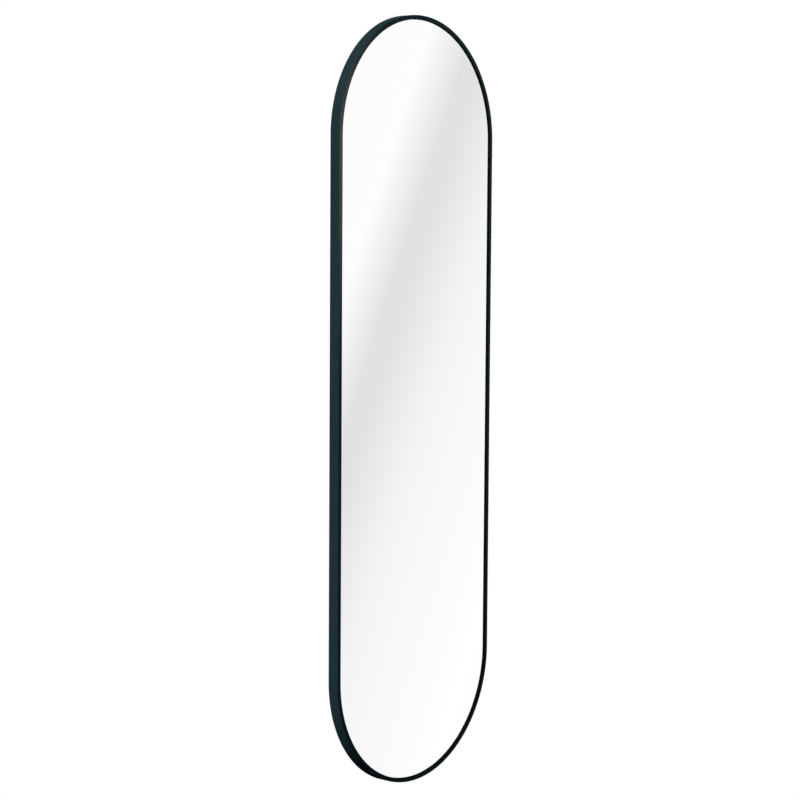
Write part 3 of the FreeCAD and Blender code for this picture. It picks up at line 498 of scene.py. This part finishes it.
def run_on(mesh, edges, rise):
    """Extrudes the profile's edges straight up, or down for a negative rise, and gives what it made."""
    grown = bmesh.ops.extrude_edge_only(mesh, edges=edges)["geom"]
    moved = [part for part in grown if isinstance(part, bmesh.types.BMVert)]
    bmesh.ops.translate(mesh, vec=(0, 0, rise), verts=moved)
    return grown


def bent_half(way):
    """The upper half of the frame for way 1, and the lower half for way -1."""
    corners = [
        (0, frame_low.y, FRONT_ROUND), (LIP_W, frame_low.y, SMALL_ROUND), (LIP_W, lip_back, SMALL_ROUND),
        (OUTER_WALL, lip_back, 0), (OUTER_WALL, web_front, 0), (FLANGE_W, web_front, 0),
        (FLANGE_W, web_front + WEB_T, 0), (OUTER_WALL, web_front + WEB_T, 0),
        (OUTER_WALL, flange_front, 0), (FLANGE_W, flange_front, 0),
        (FLANGE_W, frame_high.y, SMALL_ROUND), (0, frame_high.y, SMALL_ROUND),
    ]
    mesh = bmesh.new()
    verts = [mesh.verts.new((frame_high.x - inward, y, 0)) for inward, y, _ in corners]
    for vert, following in zip(verts, verts[1:] + verts[:1]):
        mesh.edges.new((vert, following))
    for vert, (_, _, size) in zip(verts, corners):
        if size:
            bmesh.ops.bevel(mesh, geom=[vert], affect="VERTICES", offset=size * ROUND_CHORD,
                            segments=ROUND_STEPS, profile=0.5, material=-1)
    grown = run_on(mesh, list(mesh.edges), way * arc_z)
    shoulder = [part for part in grown if isinstance(part, bmesh.types.BMEdge)
                and all(abs(vert.co.z) > 1e-6 for vert in part.verts)]
    arch = bmesh.ops.spin(mesh, geom=shoulder, cent=(middle_x, 0, way * arc_z), axis=(0, -way, 0),
                          angle=math.pi, steps=ARC_STEPS)["geom_last"]
    run_on(mesh, [part for part in arch if isinstance(part, bmesh.types.BMEdge)], -way * arc_z)
    bmesh.ops.holes_fill(mesh, edges=[edge for edge in mesh.edges if edge.is_boundary])
    # Marks the lip's inner edge faces, which get the painted shade.
    inner_edge = mesh.faces.layers.float.new("inner_edge")
    for face in mesh.faces:
        middle = face.calc_center_median()
        face[inner_edge] = float(middle.y < lip_back and from_edge(middle) > LIP_W - SHADE_EDGE_INSET)
    return mesh


for way, name in ((1, "upper"), (-1, "lower")):
    made = piece("bent_frame_" + name, bent_half(way), petrol_coat, "mirror_panel", "powder_coat",
                 "frame_" + name)
    made.modifiers.remove(made.modifiers[0])
    made.data.set_sharp_from_angle(angle=math.radians(30))

# ---------------------------------------------------------------- frame screws and splice plates
# Flat steel keys lie in the rear slot across the two butt joints. Blackened button head screws
# go through the rear flange into them and into the cross bars.

dress(plated, "splice_plates")

black_oxide, tree, shader = finish("steel_black_oxide", Metallic=1.0)
where = add(tree, "ShaderNodeTexCoord", {}).outputs["Object"]
knock = add(tree, "ShaderNodeTexNoise", {"Scale": 1 / KNOCK, "Detail": 3.0}, [("Vector", where)])
tint = add(tree, "ShaderNodeMix",
           {"data_type": "RGBA", 6: linear("#2B2B2D"), 7: linear("#3C3C3E")}, [(0, knock.outputs["Fac"])])
gloss = add(tree, "ShaderNodeMapRange", {"To Min": 0.30, "To Max": 0.45}, [("Value", knock.outputs["Fac"])])
tree.links.new(tint.outputs[2], shader.inputs["Base Color"])
tree.links.new(gloss.outputs["Result"], shader.inputs["Roughness"])

M3_SHANK = 0.0015
M3_SOCKET = 0.0010
M3_RISE = 0.0009
mesh = bmesh.new()
for low, high in solids("frame_screws"):
    seat = high.y - M3_RISE
    place = Matrix.Translation(((low.x + high.x) / 2, seat, (low.z + high.z) / 2)) @ TO_BACK
    turned(mesh, place, [(M3_SHANK, low.y - seat), (M3_SHANK, 0)]
           + button_head((high.x - low.x) / 2, M3_RISE, M3_SOCKET))
piece("flange_screws", mesh, black_oxide, "mirror_panel", "black_screw", "frame_screws", edge=0.00006)

# ---------------------------------------------------------------- gasket and mirror glass
# A thin rubber gasket under the lip, then 4 mm float glass silvered on its back, so that all
# that is seen of it is what stands in front of it.

dress(rubber, "glazing_gasket")

# Float glass is flat to a few micrometres and its silver returns nearly all the light, with a
# trace of green from the glass.
mirror, tree, shader = finish("silvered_float_glass", Metallic=1.0, Roughness=0.0)
shader.inputs["Base Color"].default_value = linear("#FEFFFE")
dress(mirror, "mirror_glass")

# ---------------------------------------------------------------- safety film and backing board
# Vinyl film over the silver holds the pieces if the glass breaks, and 3.2 mm hardboard behind it
# keeps it flat. The board is pressed from wood fibre and sealed with a dark brown lacquer.

FILM_WRINKLE = 0.02
film, tree, shader = finish("vinyl_film_grey", Roughness=0.45)
where = add(tree, "ShaderNodeTexCoord", {}).outputs["Object"]
wrinkle = add(tree, "ShaderNodeTexNoise", {"Scale": 1 / FILM_WRINKLE, "Detail": 2.0}, [("Vector", where)])
tint = add(tree, "ShaderNodeMix",
           {"data_type": "RGBA", 6: linear("#A6A9AB"), 7: linear("#B2B5B6")}, [(0, wrinkle.outputs["Fac"])])
tree.links.new(tint.outputs[2], shader.inputs["Base Color"])
dress(film, "safety_film")

FIBRE_LONG = 0.006
FIBRE_WIDE = 0.0007
FIBRE_HEIGHT = 0.0002
BLOTCH = 0.045
hardboard, tree, shader = finish("hardboard_lacquered", Roughness=0.55)
shader.inputs["Specular IOR Level"].default_value = 0.3
where = add(tree, "ShaderNodeTexCoord", {}).outputs["Object"]
fibres = []
for turn in (20, 75, 140):
    laid = add(tree, "ShaderNodeMapping", {
        "Rotation": (0, math.radians(turn), 0), "Scale": (1 / FIBRE_LONG, 1, 1 / FIBRE_WIDE)},
        [("Vector", where)])
    fibres.append(add(tree, "ShaderNodeTexNoise", {"Scale": 1.0, "Detail": 3.0},
                      [("Vector", laid.outputs["Vector"])]).outputs["Fac"])
crossed = add(tree, "ShaderNodeMath", {"operation": "MAXIMUM"}, [(0, fibres[0]), (1, fibres[1])])
matted = add(tree, "ShaderNodeMath", {"operation": "MAXIMUM"}, [(0, crossed.outputs[0]), (1, fibres[2])])
blotch = add(tree, "ShaderNodeTexNoise", {"Scale": 1 / BLOTCH, "Detail": 4.0}, [("Vector", where)])
fibre_tint = add(tree, "ShaderNodeValToRGB", {
    "stops": [(0.45, linear("#2A211B")), (0.62, linear("#3B2F27")), (0.75, linear("#554539"))]},
    [("Fac", matted.outputs[0])])
tint = add(tree, "ShaderNodeMix", {"data_type": "RGBA", "blend_type": "MULTIPLY", 7: linear("#C8C2BC")},
           [(0, blotch.outputs["Fac"]), (6, fibre_tint.outputs["Color"])])
bump = add(tree, "ShaderNodeBump", {"Strength": 0.25, "Distance": FIBRE_HEIGHT},
           [("Height", matted.outputs[0])])
tree.links.new(tint.outputs[2], shader.inputs["Base Color"])
tree.links.new(bump.outputs["Normal"], shader.inputs["Normal"])
dress(hardboard, "backing_board")

# ---------------------------------------------------------------- cushion strip
# A ring of black closed cell foam that presses the glass and board forward against the gasket.
# It is cut from sheet, so its edge shows the small cells that the knife went through.

CELL = 0.0006
CELL_DEPTH = 0.0002
foam, tree, shader = finish("closed_cell_foam_black", Roughness=0.9)
where = add(tree, "ShaderNodeTexCoord", {}).outputs["Object"]
cells = add(tree, "ShaderNodeTexVoronoi", {"Scale": 1 / CELL}, [("Vector", where)])
tint = add(tree, "ShaderNodeMix", {"data_type": "RGBA", 6: linear("#111111"), 7: linear("#262626")},
           [(0, cells.outputs["Distance"])])
bump = add(tree, "ShaderNodeBump", {"Strength": 0.5, "Distance": CELL_DEPTH},
           [("Height", cells.outputs["Distance"])])
tree.links.new(tint.outputs[2], shader.inputs["Base Color"])
tree.links.new(bump.outputs["Normal"], shader.inputs["Normal"])
dress(foam, "cushion_strip")

# ---------------------------------------------------------------- cross bars and hinge brackets
# Steel flats slid into the rear slot, and bent angles screwed to them, all powder coated black.
# Three M4 button head screws hold each angle.

dress(black_coat, "cross_bar_upper", "cross_bar_lower", "hinge_bracket_top", "hinge_bracket_bottom")

BRACKET_RISE = 0.0018
mesh = bmesh.new()
for low, high in solids("bracket_screws"):
    seat = high.y - BRACKET_RISE
    place = Matrix.Translation(((low.x + high.x) / 2, seat, (low.z + high.z) / 2)) @ TO_BACK
    turned(mesh, place, [(M4_SHANK, low.y - seat), (M4_SHANK, 0)]
           + button_head((high.x - low.x) / 2, BRACKET_RISE, M4_SOCKET))
piece("angle_screws", mesh, plated, "mirror_panel", "screw_steel", "bracket_screws", edge=0.00008)

# ---------------------------------------------------------------- pivot pins and clips
# Turned steel pins, one pressed into each bracket, that run in the nylon bushes. A spring clip in
# a groove near the tail keeps each pin in its arm.

PIN_HEAD = 0.0030
PIN_CHAMFER = 0.0005
PIN_SOCKET = 0.0020
GROOVE_R = 0.0030
clips = solids("retaining_clips")
mesh = bmesh.new()
for low, high in solids("pivot_pins"):
    up = 1 if low.z > 0 else -1
    seat = (high.z - PIN_HEAD) if up > 0 else (low.z + PIN_HEAD)
    clip_low, clip_high = next(clip for clip in clips if clip[0].z * up > 0)
    groove = sorted(abs(z - seat) for z in (clip_low.z, clip_high.z))
    head = (high.x - low.x) / 2
    tail = (high.z - low.z) - PIN_HEAD
    place = Matrix.Translation(((low.x + high.x) / 2, (low.y + high.y) / 2, seat)) @ UPRIGHT_WAY[up]
    turned(mesh, place, [
        (PIN_R - PIN_CHAMFER, -tail), (PIN_R, -tail + PIN_CHAMFER), (PIN_R, -groove[1]),
        (GROOVE_R, -groove[1]), (GROOVE_R, -groove[0]), (PIN_R, -groove[0]), (PIN_R, 0)]
        + button_head(head, PIN_HEAD, PIN_SOCKET))
piece("pins", mesh, plated, "mirror_panel", "screw_steel", "pivot_pins", edge=0.0001)
dress(bare_steel, "retaining_clips")

# ---------------------------------------------------------------- camera
# It stands to the left of the mirror's front and a little above its middle.

VIEW_AZIMUTH = math.radians(-50.623)
VIEW_ELEVATION = math.radians(5.327)
VIEW_ROLL = math.radians(0.377)
VIEW_DISTANCE = 3.3618
VIEW_TARGET = Vector((-0.0441, frame_low.y, 0.0093))
LENS = 96.23
SENSOR_WIDTH = 36

away = Vector((math.sin(VIEW_AZIMUTH) * math.cos(VIEW_ELEVATION),
               -math.cos(VIEW_AZIMUTH) * math.cos(VIEW_ELEVATION), math.sin(VIEW_ELEVATION)))
camera = bpy.data.objects.new("camera", bpy.data.cameras.new("camera"))
camera.data.lens = LENS
camera.data.sensor_width = SENSOR_WIDTH
camera.rotation_mode = "QUATERNION"
camera.location = VIEW_TARGET + away * VIEW_DISTANCE
roll = Matrix.Rotation(VIEW_ROLL, 3, "Z").to_quaternion()
camera.rotation_quaternion = (-away).to_track_quat("-Z", "Y") @ roll
bpy.context.scene.collection.objects.link(camera)
bpy.context.scene.camera = camera

# ---------------------------------------------------------------- surroundings
# A white studio. Seen in glass and metal its walls are crossed by soft grey folds every 12
# degrees, leaning half a metre for each metre of height, and light from below is weak.

FOLD = 12.0
FOLD_FROM = 45.7
FOLD_LEAN = 0.5
GREYS = [(45.7, "#FBFBFB"), (49.9, "#FDFDFD"), (51.1, "#E2E2E2"), (51.5, "#E1E1E1"), (53.1, "#F5F5F5"),
         (54.9, "#FBFBFB"), (55.9, "#FFFFFF"), (57.7, "#FBFBFB")]
UNDERSIDE = 0.01
OVERHEAD = 0.08
DIM_BELOW = -0.3   # heights on the unit sphere between which the light grows
BRIGHT_ABOVE = 0.8


def seen(tree):
    """1 for the rays that see the background: straight, mirrored or through glass."""
    path = add(tree, "ShaderNodeLightPath", {})
    mirrored = add(tree, "ShaderNodeMath", {"operation": "MAXIMUM"},
                   [(0, path.outputs["Is Camera Ray"]), (1, path.outputs["Is Glossy Ray"])])
    through = add(tree, "ShaderNodeMath", {"operation": "MAXIMUM"},
                  [(0, mirrored.outputs[0]), (1, path.outputs["Is Transmission Ray"])])
    unscattered = add(tree, "ShaderNodeMath", {"operation": "LESS_THAN", 1: 0.5},
                      [(0, path.outputs["Diffuse Depth"])])
    return add(tree, "ShaderNodeMath", {"operation": "MULTIPLY"},
               [(0, through.outputs[0]), (1, unscattered.outputs[0])]).outputs[0]


world = bpy.data.worlds.new("studio")
world.use_nodes = True
bpy.context.scene.world = world
tree = world.node_tree
tree.nodes.clear()
toward = add(tree, "ShaderNodeTexCoord", {}).outputs["Generated"]
axes = add(tree, "ShaderNodeSeparateXYZ", {}, [(0, toward)])
lean = add(tree, "ShaderNodeVectorMath", {"operation": "DOT_PRODUCT", 1: (1, 0, -FOLD_LEAN)}, [(0, toward)])
front = add(tree, "ShaderNodeMath", {"operation": "MULTIPLY", 1: -1.0}, [(0, axes.outputs["Y"])])
turn = add(tree, "ShaderNodeMath", {"operation": "ARCTAN2"},
           [(0, lean.outputs["Value"]), (1, front.outputs[0])])
folds = add(tree, "ShaderNodeMath", {
    "operation": "MULTIPLY_ADD", 1: math.degrees(1) / FOLD, 2: -FOLD_FROM / FOLD}, [(0, turn.outputs[0])])
share = add(tree, "ShaderNodeMath", {"operation": "FRACT"}, [(0, folds.outputs[0])])
grey = add(tree, "ShaderNodeValToRGB", {
    "stops": [((angle - FOLD_FROM) / FOLD, linear(shade)) for angle, shade in GREYS]},
    [("Fac", share.outputs[0])])
path = add(tree, "ShaderNodeLightPath", {})
shown = add(tree, "ShaderNodeMix", {"data_type": "RGBA", 7: linear("#FFFFFF")},
            [(0, path.outputs["Is Camera Ray"]), (6, grey.outputs["Color"])])
soft = add(tree, "ShaderNodeMapRange", {
    "From Min": DIM_BELOW, "From Max": BRIGHT_ABOVE, "To Min": UNDERSIDE, "To Max": OVERHEAD},
    [("Value", axes.outputs["Z"])])
light = add(tree, "ShaderNodeBackground", {"Color": linear("#FFFFFF")},
            [("Strength", soft.outputs["Result"])])
plain = add(tree, "ShaderNodeBackground", {"Strength": 1.0}, [("Color", shown.outputs[2])])
mix = add(tree, "ShaderNodeMixShader", {}, [(0, seen(tree)), (1, light.outputs[0]), (2, plain.outputs[0])])
add(tree, "ShaderNodeOutputWorld", {}, [("Surface", mix.outputs[0])])

# ---------------------------------------------------------------- floor
# Pale paint, with the object's shadow on it. It fades into the white surroundings a step away.

FLOOR_DROP = 0.42
FLOOR_SIZE = 14.0
FADE_FROM = 0.6
FADE_TO = 1.3
floor_paint, tree, shader = finish("floor_paint_white", Roughness=0.9)
shader.inputs["Base Color"].default_value = linear("#EDEDEC")
where = add(tree, "ShaderNodeTexCoord", {}).outputs["Object"]
level = add(tree, "ShaderNodeVectorMath", {"operation": "MULTIPLY", 1: (1, 1, 0)}, [(0, where)])
far = add(tree, "ShaderNodeVectorMath", {"operation": "LENGTH"}, [(0, level.outputs["Vector"])])
fade = add(tree, "ShaderNodeMapRange", {
    "From Min": FADE_FROM, "From Max": FADE_TO, "interpolation_type": "SMOOTHSTEP"},
    [("Value", far.outputs["Value"])])
gone = add(tree, "ShaderNodeMath", {"operation": "MULTIPLY"},
           [(0, fade.outputs["Result"]), (1, seen(tree))])
clear = add(tree, "ShaderNodeBsdfTransparent", {})
mix = add(tree, "ShaderNodeMixShader", {},
          [(0, gone.outputs[0]), (1, shader.outputs[0]), (2, clear.outputs[0])])
tree.links.new(mix.outputs[0], tree.nodes["Material Output"].inputs["Surface"])
mesh = bmesh.new()
bmesh.ops.create_grid(mesh, x_segments=1, y_segments=1, size=FLOOR_SIZE / 2,
                      matrix=Matrix.Translation((0, 0, cad_low.z - FLOOR_DROP)))
data = bpy.data.meshes.new("floor")
mesh.to_mesh(data)
mesh.free()
data.materials.append(floor_paint)
floor = bpy.data.objects.new("floor", data)
bpy.context.scene.collection.objects.link(floor)
floor.visible_diffuse = False
floor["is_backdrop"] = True

# ---------------------------------------------------------------- lamps
# A large softbox stands far to the left, high and a little behind, and weaker ones above and
# behind. A small one close to the upper front, and a warm round lamp whose narrow soft beam
# meets the lip's upper left, stay out of the glass.


def lamp(name, place, target, size, power, shade="#FFFFFF", beam=None):
    """A square softbox, or a round lamp with a soft edged beam this many degrees wide."""
    data = bpy.data.lights.new(name, "SPOT" if beam else "AREA")
    if beam:
        data.spot_size = math.radians(beam)
        data.spot_blend = 1.0
        data.shadow_soft_size = size / 2
    else:
        data.size = size
    data.energy = power
    data.color = linear(shade)[:3]
    made = bpy.data.objects.new(name, data)
    made.location = place
    made.rotation_mode = "QUATERNION"
    made.rotation_quaternion = (Vector(target) - Vector(place)).to_track_quat("-Z", "Y")
    made.visible_camera = False
    bpy.context.scene.collection.objects.link(made)
    return made


lamp("left", (-15.0, 3.9, 11.4), (0, 0, 0), 7.8, 3900)
lamp("top", (-0.2, 1.7, 2.1), (0, 0, 0), 1.0, 1.5)
lamp("back", (1.6, 2.6, 0.6), (0, 0, 0), 2.2, 34)
front_lamp = lamp("front", (0.62, -1.03, 0.40), (-0.2, 0, 0.3), 0.25, 7)
lip_lamp = lamp("lip", (-0.09, -2.69, 0.89), (-0.28, -0.04, 0.38), 0.3, 1600, "#FFA08B", beam=9.4)
for small in (front_lamp, lip_lamp):
    small.visible_glossy = False

# A black flag lies above the floor behind the object, where only gloss sees it, and keeps the
# frame's underside dark.
FLAG_SIZE = 3.0
FLAG_LEFT = 0.5
FLAG_BEHIND = 0.05
FLAG_RISE = 0.02
flag_cloth, tree, shader = finish("flag_cloth_black", Roughness=1.0)
shader.inputs["Base Color"].default_value = linear("#050505")
shader.inputs["Specular IOR Level"].default_value = 0.0
mesh = bmesh.new()
bmesh.ops.create_grid(mesh, x_segments=1, y_segments=1, size=FLAG_SIZE / 2, matrix=Matrix.Translation(
    (FLAG_SIZE / 2 - FLAG_LEFT, FLAG_SIZE / 2 + FLAG_BEHIND, cad_low.z - FLOOR_DROP + FLAG_RISE)))
data = bpy.data.meshes.new("flag")
mesh.to_mesh(data)
mesh.free()
data.materials.append(flag_cloth)
flag = bpy.data.objects.new("flag", data)
bpy.context.scene.collection.objects.link(flag)
flag.visible_camera = False
flag.visible_diffuse = False
flag.visible_shadow = False
flag.visible_transmission = False
flag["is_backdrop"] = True

bpy.context.scene.view_settings.view_transform = "Standard"

low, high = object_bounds()
